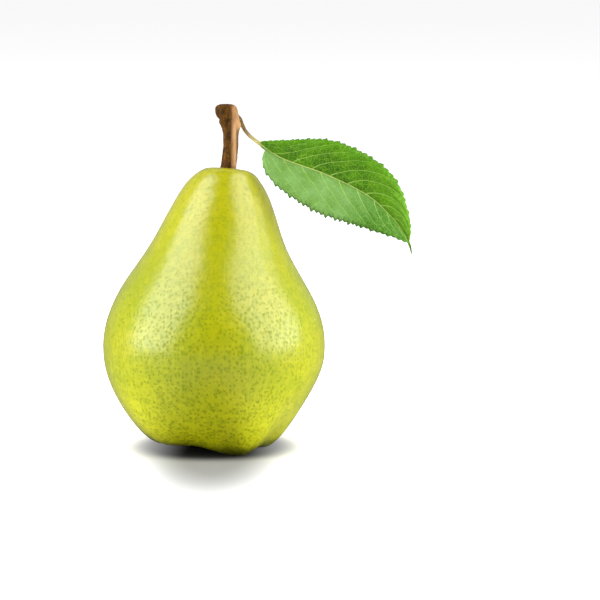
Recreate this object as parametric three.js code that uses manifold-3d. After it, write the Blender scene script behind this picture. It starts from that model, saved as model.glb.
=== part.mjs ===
// A whole green dessert pear, as picked: the fruit stands on the lobes round its eye, with its woody
// stem and one leaf on top and the dried calyx in the basin underneath.
//
// Millimetres, +Z up. The pear stands on the plane z = 0 and the origin is the middle of the box
// round the whole object on that plane. Its front, with the leaf out to +X, faces -Y.
// Every shape is worked out about the fruit's own axis first, and the group is moved at the end.

import * as THREE from "three";
import { mergeVertices } from "three/addons/utils/BufferGeometryUtils.js";
import Module from "manifold-3d";

const wasm = await Module();
wasm.setup();

const degrees = THREE.MathUtils.degToRad;
const { smoothstep, lerp } = THREE.MathUtils;

// ---------- helpers: from three.js geometry to a closed solid and back ----------

const MERGE_WITHIN = 1e-3;

function solidOf(geometry) {
  const bare = geometry.clone();
  bare.deleteAttribute("normal");
  bare.deleteAttribute("uv");
  const merged = mergeVertices(bare, MERGE_WITHIN);
  return new wasm.Manifold(
    new wasm.Mesh({
      numProp: 3,
      vertProperties: new Float32Array(merged.getAttribute("position").array),
      triVerts: new Uint32Array(merged.index.array),
    }),
  );
}

function geometryOf(solid) {
  const { vertProperties, triVerts } = solid.getMesh();
  const geometry = new THREE.BufferGeometry();
  geometry.setAttribute("position", new THREE.BufferAttribute(vertProperties, 3));
  geometry.setIndex(new THREE.BufferAttribute(triVerts, 1));
  geometry.computeVertexNormals();
  return geometry;
}

// A solid turned about +Z from a profile of [radius, height] points, with each of its points then
// moved by shape(radius, height, angle), which returns a Vector3.
function turned(profile, segments, shape) {
  const points = profile.map(([radius, height]) => new THREE.Vector2(radius, height));
  const geometry = new THREE.LatheGeometry(points, segments).rotateX(Math.PI / 2);
  const position = geometry.getAttribute("position");
  const point = new THREE.Vector3();
  for (let i = 0; i < position.count; i++) {
    point.fromBufferAttribute(position, i);
    const moved = shape(Math.hypot(point.x, point.y), point.z, Math.atan2(point.y, point.x));
    position.setXYZ(i, moved.x, moved.y, moved.z);
  }
  return geometry;
}

// A smooth profile from axis to axis, drawn out by a few [radius, height] control points as a uniform
// cubic B-spline. The mirrored neighbours of its ends leave it level where it meets the axis.
function smoothProfile(control, steps) {
  const mirrored = ([radius, height]) => [-radius, height];
  const points = [mirrored(control[1]), ...control, mirrored(control.at(-2))];
  const profile = [];
  for (let i = 0; i + 3 < points.length; i++)
    for (let step = 0; step < steps; step++) {
      const t = step / steps;
      const weights = [
        (1 - t) ** 3 / 6,
        (3 * t ** 3 - 6 * t ** 2 + 4) / 6,
        (-3 * t ** 3 + 3 * t ** 2 + 3 * t + 1) / 6,
        t ** 3 / 6,
      ];
      const blend = (axis) => weights.reduce((sum, w, k) => sum + w * points[i + k][axis], 0);
      profile.push([Math.max(blend(0), 0), blend(1)]);
    }
  const top = (2 * control.at(-2)[1] + 4 * control.at(-1)[1]) / 6;
  return [...profile, [0, top]];
}

// A closed sheet of even thickness. middle[row][column] are the points of its middle surface, and
// both faces are split into triangles alike, so that they never cross where the sheet waves.
function thickSheet(middle, thickness) {
  const rows = middle.length;
  const columns = middle[0].length;
  const at = (row, column) =>
    middle[Math.min(Math.max(row, 0), rows - 1)][Math.min(Math.max(column, 0), columns - 1)];
  const vertices = [];
  for (const side of [1, -1])
    for (let row = 0; row < rows; row++)
      for (let column = 0; column < columns; column++) {
        const along = at(row + 1, column).clone().sub(at(row - 1, column));
        const across = at(row, column + 1).clone().sub(at(row, column - 1));
        const normal = along.cross(across).normalize();
        const point = at(row, column).clone().addScaledVector(normal, (side * thickness) / 2);
        vertices.push(point.x, point.y, point.z);
      }
  const back = rows * columns;
  const index = [];
  const quad = (a, b, c, d) => index.push(a, b, c, a, c, d);
  for (let row = 0; row < rows - 1; row++)
    for (let column = 0; column < columns - 1; column++) {
      const a = row * columns + column;
      const [b, c, d] = [a + columns, a + columns + 1, a + 1];
      quad(a, b, c, d);
      index.push(back + a, back + c, back + b, back + a, back + d, back + c);
    }
  for (let row = 0; row < rows - 1; row++) {
    const left = row * columns;
    const right = left + columns - 1;
    quad(left, back + left, back + left + columns, left + columns);
    quad(right, right + columns, back + right + columns, back + right);
  }
  for (let column = 0; column < columns - 1; column++) {
    const last = (rows - 1) * columns + column;
    quad(column, column + 1, back + column + 1, back + column);
    quad(last, back + last, back + last + 1, last + 1);
  }
  const geometry = new THREE.BufferGeometry();
  geometry.setAttribute("position", new THREE.Float32BufferAttribute(vertices, 3));
  geometry.setIndex(index);
  return geometry;
}

// A round rod along a list of centre points, whose radius may change, closed at both ends.
function taperedRod(centres, radii, sides) {
  const vertices = [];
  const index = [];
  const last = centres.length - 1;
  const up = new THREE.Vector3(0, 1, 0);
  centres.forEach((centre, i) => {
    const along = centres[Math.min(i + 1, last)].clone().sub(centres[Math.max(i - 1, 0)]);
    const out = up.clone().cross(along).normalize();
    const other = along.normalize().clone().cross(out);
    for (let k = 0; k < sides; k++) {
      const turn = (2 * Math.PI * k) / sides;
      const point = centre.clone();
      point.addScaledVector(out, radii[i] * Math.cos(turn));
      point.addScaledVector(other, radii[i] * Math.sin(turn));
      vertices.push(point.x, point.y, point.z);
    }
  });
  for (let i = 0; i < last; i++)
    for (let k = 0; k < sides; k++) {
      const a = i * sides + k;
      const b = i * sides + ((k + 1) % sides);
      index.push(a, b, b + sides, a, b + sides, a + sides);
    }
  const ends = vertices.length / 3;
  vertices.push(...centres[0].toArray(), ...centres[last].toArray());
  for (let k = 0; k < sides; k++) {
    const next = (k + 1) % sides;
    index.push(ends, next, k, ends + 1, last * sides + k, last * sides + next);
  }
  const geometry = new THREE.BufferGeometry();
  geometry.setAttribute("position", new THREE.Float32BufferAttribute(vertices, 3));
  geometry.setIndex(index);
  return geometry;
}

// ---------- the fruit ----------

const FRUIT_HEIGHT = 90.5; // from the table to the crown round the stem
const BELLY_RADIUS = 36; // half of its greatest width

// The half outline from the eye to the crown, as shares of the belly's radius and of the height.
const FRUIT_OUTLINE = [
  [0, 0.072], // floor of the eye basin
  [0.155, 0.063],
  [0.28, 0.033], // wall of the basin
  [0.39, 0],
  [0.51, -0.011], // the ring that it stands on
  [0.645, 0.016],
  [0.79, 0.082], // underside
  [0.91, 0.18],
  [0.995, 0.29],
  [1.01, 0.403], // belly
  [0.93, 0.513],
  [0.78, 0.615], // waist
  [0.615, 0.714],
  [0.505, 0.82], // neck
  [0.403, 0.914],
  [0.29, 0.978], // shoulder of the crown
  [0.18, 1.004],
  [0.083, 0.996], // dimple round the stem
  [0, 0.984],
];
const FRUIT_SEGMENTS = 64;
const FRUIT_STEPS = 3; // rings between two of those points

// Five lobes round the eye. The one at the front left stops short of the table.
const LOBES = 5;
const LOBE_ANGLE = degrees(-65); // the lobe at the front right, which carries the most
const LOBE_FADE = 30; // height at which the lobes have died out
const LOBE_SWELL = 0.9;
const LOBE_RISE = 1.1; // how much higher the furrows between the lobes are
const SHORT_LOBE_ANGLE = degrees(225);
const SHORT_LOBE_RISE = 3;
const LOBES_OUTSIDE = 0.4 * BELLY_RADIUS; // the lobes are full from this radius out
const DRAWN_IN = 0.16; // how much narrower the underside is towards +X

// A pear is never quite round: a little oval, a little three-sided, and its neck leans to +X.
const OVAL = 0.012;
const OVAL_ANGLE = degrees(45);
const THREE_SIDED = 0.008;
const THREE_SIDED_ANGLE = degrees(30);
const NECK_LEAN = 3.3;
const LEAN_FROM = 50;
const CROWN_LEAN = 1.3; // the dimple stands off the neck's middle by this much more
const CROWN_FROM = 86;
const CROWN_FALL_X = 0.08; // fall of the crown per millimetre towards +X
const CROWN_FALL_Y = 0.16; // and towards +Y, so that its front lip hides the foot of the stem

function fruitPoint(radius, height, angle) {
  const low = 1 - smoothstep(height, 0, LOBE_FADE);
  const outside = smoothstep(radius, 0, LOBES_OUTSIDE);
  const lobe = Math.cos(LOBES * (angle - LOBE_ANGLE));
  const short = Math.max(0, Math.cos(angle - SHORT_LOBE_ANGLE)) ** 3;
  const rise = (LOBE_RISE * (1 - lobe)) / 2 + SHORT_LOBE_RISE * short;
  const unround =
    1 +
    OVAL * Math.cos(2 * (angle - OVAL_ANGLE)) +
    THREE_SIDED * Math.cos(3 * (angle - THREE_SIDED_ANGLE));
  const drawnIn = 1 - DRAWN_IN * low * Math.max(0, Math.cos(angle)) ** 2;
  const r = radius * unround * drawnIn + LOBE_SWELL * lobe * low * outside;
  const crown = smoothstep(height, CROWN_FROM, FRUIT_HEIGHT);
  const lean = NECK_LEAN * smoothstep(height, LEAN_FROM, FRUIT_HEIGHT) + CROWN_LEAN * crown;
  const x = r * Math.cos(angle);
  const y = r * Math.sin(angle);
  const z = height + rise * low * outside - crown * (CROWN_FALL_X * x + CROWN_FALL_Y * y);
  return new THREE.Vector3(x + lean, y, z);
}

// The stem's socket is a plain hole, a little wider than the stem's root.
const SOCKET_CLEARANCE = 0.35;
const SOCKET_DEPTH = 7;
const SOCKET_SIDES = 20;
const TABLE_SIZE = 100;
const TABLE_DEPTH = 10;

function makeFruit() {
  const outline = FRUIT_OUTLINE.map(([r, h]) => [r * BELLY_RADIUS, h * FRUIT_HEIGHT]);
  const flesh = turned(smoothProfile(outline, FRUIT_STEPS), FRUIT_SEGMENTS, fruitPoint);
  const table = new THREE.BoxGeometry(TABLE_SIZE, TABLE_SIZE, TABLE_DEPTH);
  table.translate(0, 0, -TABLE_DEPTH / 2);
  const bore = STEM_ROOT_RADIUS + SOCKET_CLEARANCE;
  const socket = new THREE.CylinderGeometry(bore, bore, 2 * SOCKET_DEPTH, SOCKET_SIDES)
    .rotateX(Math.PI / 2)
    .translate(STEM_X, STEM_Y, STEM_Z);
  return solidOf(flesh).subtract(solidOf(table)).subtract(solidOf(socket));
}

// ---------- the stem ----------

const STEM_X = 4.6; // where it leaves the crown
const STEM_Y = 0;
const STEM_Z = 90.3;
const STEM_ROOT_RADIUS = 2.1;

// Radius against height over the crown: root, shaft, and the knob that broke off the spur.
const STEM_OUTLINE = [
  [0, -6.7],
  [1.6, -6.7],
  [2.2, -6.2],
  [STEM_ROOT_RADIUS, -4.5],
  [STEM_ROOT_RADIUS, -0.4],
  [2.35, 1.4],
  [2.25, 4],
  [2.15, 8],
  [2.3, 11.5],
  [2.75, 14.5],
  [3.25, 17],
  [3.3, 19],
  [2.7, 20.8],
  [1.4, 21.4],
  [0, 21.2],
];
const STEM_SEGMENTS = 20;
const STEM_STEPS = 3;
const STEM_HEIGHT = 21.2;
const STEM_BOW = 0.8; // of the shaft, towards +X
const KNOB_SHIFT = 0.9; // of the knob, towards -X
const KNOB_FROM = 12;
const KNOB_TO = 19;
const STEM_BACK_LEAN = 0.04;
const STEM_RIDGES = 3;
const STEM_RIDGE = 0.12;
const RIDGE_TWIST = 6; // height over which they turn by a radian
const RIDGES_FROM = 4; // height from which they are full
const RIDGE_CORE = 0.5; // they die out towards the stem's own axis within about this radius

// The swelling under the leaf stalk.
const NODE_SWELL = 0.55;
const NODE_ANGLE = degrees(12);
const NODE_HEIGHT = 14.3;
const NODE_REACH = 1.5;

function stemPoint(radius, height, angle) {
  const up = smoothstep(height, 0, RIDGES_FROM);
  const near = Math.exp(-(((height - NODE_HEIGHT) / NODE_REACH) ** 2));
  const facing = Math.max(0, Math.cos(angle - NODE_ANGLE)) ** 3;
  const ridge = STEM_RIDGE * Math.cos(STEM_RIDGES * angle + height / RIDGE_TWIST);
  const share = radius / (radius + RIDGE_CORE);
  const r = radius + up * share * (ridge + NODE_SWELL * near * facing);
  const bow = STEM_BOW * Math.sin((Math.PI * Math.max(height, 0)) / STEM_HEIGHT);
  const knob = KNOB_SHIFT * smoothstep(height, KNOB_FROM, KNOB_TO);
  const lean = STEM_BACK_LEAN * Math.max(height, 0);
  return new THREE.Vector3(
    STEM_X + bow - knob + r * Math.cos(angle),
    STEM_Y + lean + r * Math.sin(angle),
    STEM_Z + height,
  );
}

function makeStem() {
  return solidOf(turned(smoothProfile(STEM_OUTLINE, STEM_STEPS), STEM_SEGMENTS, stemPoint));
}

// ---------- the leaf ----------

// The line of the leaf stalk and midrib, from beside the stem's knob down to the drip tip.
const LEAF_LINE = [
  [8.6, 1.9, 106.4],
  [9.1, 1.7, 105],
  [10.7, 0.6, 102.3],
  [13.9, -1, 99.6],
  [22.1, -3.2, 94.4],
  [36.3, -6.2, 89.4],
  [49.9, -8.3, 82.7],
  [58.4, -8.5, 74.7],
  [62.7, -7.2, 68],
  [64.2, -5.6, 63.3],
];
const LEAF_HALF_WIDTH = 12.5;
const LEAF_THICKNESS = 0.7;
const BLADE_FROM = 0.135; // where on that line the blade begins, as a share of its length
const DRIP_TIP = 0.07; // share of the blade that is the narrow tip
const DRIP_HALF_WIDTH = 0.6;
const DRIP_FROM = 0.8; // where the blade's edge begins to run out into that tip
const LEAST_HALF_WIDTH = 0.06;
// Each half: where it starts along the blade, its share of that width, how far its widest place
// stands towards the base when under 1, and two numbers that make it fuller at the base and, added
// up, at the tip, the lower they are.
const LOWER_HALF = { start: 0.05, share: 1.1, early: 0.8, base: 0.6, tip: 0.25 };
const UPPER_HALF = { start: 0, share: 0.96, early: 1, base: 0.72, tip: 0.2 };

// The upper face looks to the front and turns a little to the sky. Its halves rise from the midrib
// as a shallow V, arch, and wave towards their edges.
const FACING_BASE = [0.1, -1, 0.28];
const FACING_TIP = [0.25, -1, 0.32];
const FOLD_BASE = degrees(30);
const FOLD_TIP = degrees(14);
const ARCH = 0.2; // how far the edge falls back, as a share of the half width
const EDGE_WAVES = 3.5;
const EDGE_WAVE = 0.45;
const WAVING_WIDTH = 4; // a half narrower than this waves less

const TEETH = 34; // saw teeth on each edge, each with its point at this share of its length
const TOOTH_POINT = 0.7;
const TOOTH_HEIGHT = 0.6;
const DRIP_ROWS = [0, 0.4, 0.75, 1]; // as shares of the narrow tip

const BLADE_COLUMNS = 4; // on each half
const STALK_RADIUS = 0.62;
const RIB_TIP_RADIUS = 0.16;
const RIB_SINK = 0.3; // how far the midrib stands out under the blade
const RIB_SIDES = 8;
const RIB_STEPS = 40;
const RIB_END = 0.97; // where on the line the midrib ends

const vector = (list) => new THREE.Vector3(...list);
const leafLine = new THREE.CatmullRomCurve3(LEAF_LINE.map(vector), false, "catmullrom", 0.5);

// Width of the lower half, for v below 0, or of the upper half at share s of the blade's length,
// without its teeth.
function halfWidth(s, v) {
  const { start, share, early, base, tip } = v < 0 ? LOWER_HALF : UPPER_HALF;
  const t = Math.min(Math.max(0, s - start) / (1 - DRIP_TIP - start), 1) ** early;
  const round = Math.max(0, Math.sin(Math.PI * t)) ** (base + tip * t ** 2);
  const blade = LEAF_HALF_WIDTH * share * round;
  const running = Math.sqrt(Math.max(0, 1 - s) / (1 - DRIP_FROM));
  const drip = s > DRIP_FROM ? DRIP_HALF_WIDTH * running : 0;
  return Math.max(blade, drip, LEAST_HALF_WIDTH);
}

// The leaf's frame at share s of the blade: the point on the midrib, the direction of the upper
// half and the upper face's normal.
function leafFrame(s) {
  const u = lerp(BLADE_FROM, 1, s);
  const along = leafLine.getTangentAt(u);
  const normal = vector(FACING_BASE).lerp(vector(FACING_TIP), s);
  normal.addScaledVector(along, -normal.dot(along)).normalize();
  return { point: leafLine.getPointAt(u), normal, upper: normal.clone().cross(along) };
}

// A point of the blade: s along it, v across it from -1, the lower edge, to 1, the upper edge.
function bladePoint(s, v, tooth) {
  const { point, normal, upper } = leafFrame(s);
  const width = halfWidth(s, v) + tooth;
  const reach = Math.abs(v);
  const fold = lerp(FOLD_BASE, FOLD_TIP, s);
  const wave = EDGE_WAVE * Math.sin(2 * Math.PI * EDGE_WAVES * s + (v > 0 ? 0 : 2)) * reach ** 2;
  const waving = wave * Math.min(width / WAVING_WIDTH, 1);
  const raised = width * (Math.sin(fold) * reach - ARCH * reach ** 2) + waving;
  return point
    .addScaledVector(upper, Math.sign(v) * reach * width * Math.cos(fold))
    .addScaledVector(normal, raised);
}

function makeLeaf() {
  const stations = [];
  const toothed = 1 - DRIP_TIP;
  for (let tooth = 0; tooth < TEETH; tooth++) {
    stations.push({ s: (toothed * tooth) / TEETH, height: 0 });
    const size = Math.sin((Math.PI * (tooth + 1)) / (TEETH + 1)) ** 0.5;
    stations.push({ s: (toothed * (tooth + TOOTH_POINT)) / TEETH, height: TOOTH_HEIGHT * size });
  }
  for (const share of DRIP_ROWS) stations.push({ s: lerp(toothed, 1, share), height: 0 });
  const middle = stations.map(({ s, height }) => {
    const row = [];
    for (let column = -BLADE_COLUMNS; column <= BLADE_COLUMNS; column++)
      row.push(bladePoint(s, column / BLADE_COLUMNS, height));
    return row;
  });
  const blade = solidOf(thickSheet(middle, LEAF_THICKNESS));

  const centres = [];
  const radii = [];
  for (let i = 0; i <= RIB_STEPS; i++) {
    const u = (RIB_END * i) / RIB_STEPS;
    const s = Math.max(0, (u - BLADE_FROM) / (1 - BLADE_FROM));
    const sink = RIB_SINK * smoothstep(s, 0, 0.05);
    centres.push(leafLine.getPointAt(u).addScaledVector(leafFrame(s).normal, -sink));
    radii.push(lerp(STALK_RADIUS, RIB_TIP_RADIUS, s));
  }
  return blade.add(solidOf(taperedRod(centres, radii, RIB_SIDES)));
}

// ---------- the calyx ----------

const CALYX_TOP = 5.75; // just under the floor of the eye basin
const CUP_SIDES = 20;
const CUP_OUTLINE = [
  [0, -3],
  [0.8, -2.9],
  [2, -1.6],
  [2.6, -0.6],
  [2.2, -0.1],
  [0, 0],
]; // radius against height from its top
const SEPALS = 5;
const SEPAL_LENGTH = 5.2;
const SEPAL_HALF_WIDTH = 1.5;
const SEPAL_THICKNESS = 0.6;
const SEPAL_DROP = 2.6; // how far its middle hangs under the cup
const SEPAL_CURL = 1.6; // how far its point turns back up
const SEPAL_CUPPED = 0.25; // how far its long edges hang under its middle at the cup
const SEPAL_POINT = 0.12; // half width left at its point
const SEPAL_ROOT = 1.4; // where it starts, out from the axis
const SEPAL_ROOT_DROP = 0.6; // and down from the cup's top
const SEPAL_ROWS = 6;

// One dried sepal: it hangs from the cup's rim, spreads outwards and turns its point back up.
function makeSepal(angle) {
  const out = new THREE.Vector3(Math.cos(angle), Math.sin(angle), 0);
  const side = new THREE.Vector3(-Math.sin(angle), Math.cos(angle), 0);
  const middle = [];
  for (let i = 0; i <= SEPAL_ROWS; i++) {
    const s = i / SEPAL_ROWS;
    const drop = SEPAL_DROP * Math.sin(0.5 * Math.PI * Math.min(1, 1.5 * s)) - SEPAL_CURL * s ** 3;
    const width = SEPAL_HALF_WIDTH * (1 - s ** 1.6) + SEPAL_POINT;
    const row = [];
    for (const v of [-1, 0, 1]) {
      const cupped = SEPAL_CUPPED * Math.abs(v) * (1 - s);
      const point = new THREE.Vector3(0, 0, CALYX_TOP - SEPAL_ROOT_DROP - drop - cupped);
      point.addScaledVector(out, SEPAL_ROOT + SEPAL_LENGTH * s ** 1.15);
      point.addScaledVector(side, v * width);
      row.push(point);
    }
    middle.push(row);
  }
  return solidOf(thickSheet(middle, SEPAL_THICKNESS));
}

function makeCalyx() {
  const cup = CUP_OUTLINE.map(([radius, height]) => [radius, CALYX_TOP + height]);
  const plain = (r, h, angle) => new THREE.Vector3(r * Math.cos(angle), r * Math.sin(angle), h);
  let calyx = solidOf(turned(cup, CUP_SIDES, plain));
  for (let i = 0; i < SEPALS; i++)
    calyx = calyx.add(makeSepal(LOBE_ANGLE + (2 * Math.PI * (i + 0.5)) / SEPALS));
  return calyx;
}

// ---------- materials and assembly ----------

const skin = new THREE.MeshStandardMaterial({ color: 0xb9bf2b, roughness: 0.42, metalness: 0 });
const bark = new THREE.MeshStandardMaterial({ color: 0x6c4a1e, roughness: 0.65, metalness: 0 });
const green = new THREE.MeshStandardMaterial({ color: 0x5c9a2a, roughness: 0.5, metalness: 0 });
const withered = new THREE.MeshStandardMaterial({ color: 0x3a2a18, roughness: 0.9, metalness: 0 });

function piece(name, solid, material) {
  const mesh = new THREE.Mesh(geometryOf(solid), material);
  mesh.name = name;
  return mesh;
}

const pieces = new THREE.Group();
pieces.add(
  piece("fruit", makeFruit(), skin),
  piece("stem", makeStem(), bark),
  piece("leaf", makeLeaf(), green),
  piece("calyx", makeCalyx(), withered),
);

// The origin goes to the middle of the whole object's box, on the table.
const box = new THREE.Box3().setFromObject(pieces, true);
const middle = box.getCenter(new THREE.Vector3());
pieces.position.set(-middle.x, -middle.y, 0);

const pear = new THREE.Group();
pear.add(pieces);

export default pear;
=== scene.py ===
import math

import bpy
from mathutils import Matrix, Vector


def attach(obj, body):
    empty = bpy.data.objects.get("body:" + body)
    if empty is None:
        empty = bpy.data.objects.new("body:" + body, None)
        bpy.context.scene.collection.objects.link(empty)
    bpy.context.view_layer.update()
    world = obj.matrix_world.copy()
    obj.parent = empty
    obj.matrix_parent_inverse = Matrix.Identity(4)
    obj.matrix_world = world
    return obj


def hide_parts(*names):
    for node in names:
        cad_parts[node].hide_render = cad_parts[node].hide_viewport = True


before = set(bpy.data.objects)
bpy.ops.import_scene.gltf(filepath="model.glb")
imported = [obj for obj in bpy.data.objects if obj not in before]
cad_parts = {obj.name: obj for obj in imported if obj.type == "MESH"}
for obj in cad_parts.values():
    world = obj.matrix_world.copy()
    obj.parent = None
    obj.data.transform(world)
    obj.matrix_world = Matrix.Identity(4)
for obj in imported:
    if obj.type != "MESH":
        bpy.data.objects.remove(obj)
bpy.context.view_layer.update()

# ---------------------------------------------------------------- the fruit
# One body of flesh under a thin waxy skin, turned out by growth: round at the belly, drawn in to a
# neck that leans a little, with five lobes round the eye on which it stands.

MM = 0.001
AXIS = Vector((-14.22, 0.288, 0)) * MM  # where the fruit's own axis stands
STEM_FOOT = AXIS + Vector((4.6, 0, 90.3)) * MM  # in the dimple of the crown
FRUIT_HEIGHT = 90.5 * MM
BELLY_RADIUS = 36 * MM
# From the floor of the eye basin, under the ring it stands on, past the belly, the waist and the
# neck to the crown, as shares of the belly's radius and of the height.
FRUIT_OUTLINE = [
    (0, 0.072), (0.155, 0.063), (0.28, 0.033), (0.39, 0), (0.51, -0.011), (0.645, 0.016),
    (0.79, 0.082), (0.91, 0.18), (0.995, 0.29), (1.01, 0.403), (0.93, 0.513), (0.78, 0.615),
    (0.615, 0.714), (0.505, 0.82), (0.403, 0.914), (0.29, 0.978), (0.18, 1.004), (0.083, 0.996),
    (0, 0.984),
]  # fmt: skip
FRUIT_SEGMENTS = 288
FRUIT_STEPS = 10
FRUIT_SHAPE = {
    "Height": FRUIT_HEIGHT,
    "Lobes": 5.0,
    "Lobes from": 0.4 * BELLY_RADIUS,
    "Lobe angle": math.radians(-65),
    "Lobe fade": 30 * MM,
    "Lobe swell": 0.9 * MM,
    "Lobe rise": 1.1 * MM,
    "Short lobe angle": math.radians(225),
    "Short lobe rise": 3 * MM,
    "Drawn in": 0.16,
    "Oval": 0.012,
    "Oval angle": math.radians(45),
    "Three sided": 0.008,
    "Three sided angle": math.radians(30),
    "Neck lean": 3.3 * MM,
    "Lean from": 50 * MM,
    "Crown lean": 1.3 * MM,
    "Crown from": 86 * MM,
    "Crown fall x": 0.08,
    "Crown fall y": 0.16,
    "Dents": 0.22 * MM,
    "Dents per metre": 70.0,
    "Dents from": 12 * MM,
}
# Heights in millimetres, each from where a change of the skin begins to where it is complete.
EYE_END = (34.0, 4.0)
# Painted shade at the foot, where the pear stands on the floor.
FOOT_SHADE = (5.0, 0.8)
NECK = (56.0, 84.0)
CROWN = (86.0, 89.0)
DOTS_TO_DASHES = (44.0, 76.0)
STEM_TINGE = (7.5, 2.6)  # likewise, in millimetres from the middle of the stem's foot
# Spacing and radius of each kind of pore in millimetres.
SMALL_PORES = (1.22, 0.43)
LARGE_PORES = (2.3, 0.56)
NECK_PORES = (1.05, 0.36)
PORE_DISORDER = 0.68
PORE_BLUR = (0.2, 0.26)  # how far a pore's edge fades beyond its radius, and within it


def spline_profile(control, steps):
    """Points of a uniform cubic B-spline, level where it meets the axis at both ends."""
    points = [(-control[1][0], control[1][1]), *control, (-control[-2][0], control[-2][1])]
    profile = []
    for first in range(len(points) - 3):
        for step in range(steps):
            t = step / steps
            weights = (
                (1 - t) ** 3 / 6,
                (3 * t**3 - 6 * t**2 + 4) / 6,
                (-3 * t**3 + 3 * t**2 + 3 * t + 1) / 6,
                t**3 / 6,
            )
            near = list(zip(weights, points[first : first + 4]))
            profile.append(tuple(sum(w * p[axis] for w, p in near) for axis in (0, 1)))
    profile.append((0, (2 * control[-2][1] + 4 * control[-1][1]) / 6))
    return profile


def mesh_piece(name, points, faces):
    mesh = bpy.data.meshes.new(name)
    mesh.from_pydata(points, [], faces)
    mesh.shade_smooth()
    piece = bpy.data.objects.new(name, mesh)
    bpy.context.scene.collection.objects.link(piece)
    return piece


def turned(name, profile, segments):
    """A body turned about Z from (radius, height) points that start and end on the axis."""
    rings = profile[1:-1]
    points = [(0, 0, profile[0][1])]
    for radius, height in rings:
        for k in range(segments):
            angle = 2 * math.pi * k / segments
            points.append((radius * math.cos(angle), radius * math.sin(angle), height))
    points.append((0, 0, profile[-1][1]))
    top = len(points) - 1
    faces = []
    for k in range(segments):
        after = (k + 1) % segments
        faces.append((0, 1 + after, 1 + k))
        last = 1 + (len(rings) - 1) * segments
        faces.append((top, last + k, last + after))
        for ring in range(len(rings) - 1):
            low = 1 + ring * segments
            faces.append((low + k, low + after, low + segments + after, low + segments + k))
    return mesh_piece(name, points, faces)


class Wire:
    """A socket of a node tree, on which sums and colour mixes are written as they read."""

    def __init__(self, tree, socket=None):
        self.tree = tree
        self.socket = socket

    def node(self, kind, settings=None, inputs=None, out=0):
        made = self.tree.nodes.new(kind)
        for name, value in (settings or {}).items():
            setattr(made, name, value)
        for key, value in (inputs or {}).items():
            if isinstance(value, Wire):
                self.tree.links.new(value.socket, made.inputs[key])
            else:
                made.inputs[key].default_value = value
        return Wire(self.tree, made.outputs[out])

    def sum(self, operation, *others):
        values = dict(enumerate((self, *others)))
        return self.node("ShaderNodeMath", {"operation": operation}, values)

    def __add__(self, other):
        return self.sum("ADD", other)

    __radd__ = __add__

    def __sub__(self, other):
        return self.sum("SUBTRACT", other)

    def __rsub__(self, other):
        return (self * -1.0) + other

    def __mul__(self, other):
        return self.sum("MULTIPLY", other)

    __rmul__ = __mul__

    def __truediv__(self, other):
        return self.sum("DIVIDE", other)

    def __pow__(self, other):
        return self.sum("POWER", other)

    def step(self, low, high, smooth=True):
        """0 below low and 1 above high, or the other way round where low is the greater."""
        how = "SMOOTHSTEP" if smooth else "LINEAR"
        inputs = {"Value": self, "From Min": low, "From Max": high}
        return self.node("ShaderNodeMapRange", {"interpolation_type": how}, inputs)

    def mix(self, first, second):
        """From the first colour at 0 to the second at 1."""
        settings = {"data_type": "RGBA", "clamp_factor": True}
        return self.node("ShaderNodeMix", settings, {0: self, 6: first, 7: second}, out=2)

    def scaled(self, *factors):
        return self.node("ShaderNodeVectorMath", {"operation": "MULTIPLY"}, {0: self, 1: factors})

    def split(self):
        parts = self.node("ShaderNodeSeparateXYZ", inputs={0: self}).socket.node
        return [Wire(self.tree, socket) for socket in parts.outputs]


def grown(piece, shape, values, material):
    """Bends a piece by a tree of its own with named inputs, and makes the result its plain mesh."""
    tree = bpy.data.node_groups.new(piece.name + " growth", "GeometryNodeTree")
    tree.interface.new_socket("Geometry", in_out="OUTPUT", socket_type="NodeSocketGeometry")
    tree.interface.new_socket("Geometry", in_out="INPUT", socket_type="NodeSocketGeometry")
    for name in values:
        tree.interface.new_socket(name, in_out="INPUT", socket_type="NodeSocketFloat")
    start = tree.nodes.new("NodeGroupInput")
    given = {name: Wire(tree, start.outputs[name]) for name in values}
    geometry = shape(Wire(tree, start.outputs["Geometry"]), given)
    geometry = geometry.node("GeometryNodeRealizeInstances", inputs={0: geometry})
    geometry = geometry.node("GeometryNodeSetMaterial", inputs={"Geometry": geometry})
    geometry.socket.node.inputs["Material"].default_value = material
    end = tree.nodes.new("NodeGroupOutput")
    tree.links.new(geometry.socket, end.inputs["Geometry"])

    modifier = piece.modifiers.new("growth", "NODES")
    modifier.node_group = tree
    for item in tree.interface.items_tree:
        if item.in_out == "INPUT" and item.name in values:
            modifier[item.identifier] = values[item.name]
    evaluated = piece.evaluated_get(bpy.context.evaluated_depsgraph_get())
    plain = bpy.data.meshes.new_from_object(evaluated)
    piece.modifiers.clear()
    piece.data = plain
    plain.shade_smooth()
    return piece


def colour(red, green, blue):
    """A colour as the eye reads it, each part from 0 to 255."""
    linear = [((c / 255 + 0.055) / 1.055) ** 2.4 for c in (red, green, blue)]
    return (*linear, 1)


def new_material(name, **constants):
    """A material, its shader with the constants set on its own sockets, and a free wire."""
    material = bpy.data.materials.new(name)
    material.use_nodes = True
    shader = material.node_tree.nodes["Principled BSDF"]
    for socket, value in constants.items():
        shader.inputs[socket.replace("_", " ")].default_value = value
    return material, shader, Wire(material.node_tree)


def in_millimetres(wire):
    """The place on the piece, in millimetres from the scene's origin."""
    return wire.node("ShaderNodeTexCoord", out=3).scaled(1 / MM, 1 / MM, 1 / MM)


def length(x, y):
    """Of a flat vector with these two parts."""
    return (x**2 + y**2).sum("SQRT")


def towards(angle, middle, sharpness):
    """1 in the direction of middle, falling to 0 a quarter turn away on either side."""
    return (angle - middle).sum("COSINE").sum("MAXIMUM", 0.0) ** sharpness


def moved_to(geometry, across, deep, up):
    place = geometry.node("ShaderNodeCombineXYZ", inputs={0: across, 1: deep, 2: up})
    inputs = {"Geometry": geometry, "Position": place}
    return geometry.node("GeometryNodeSetPosition", inputs=inputs)


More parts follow.
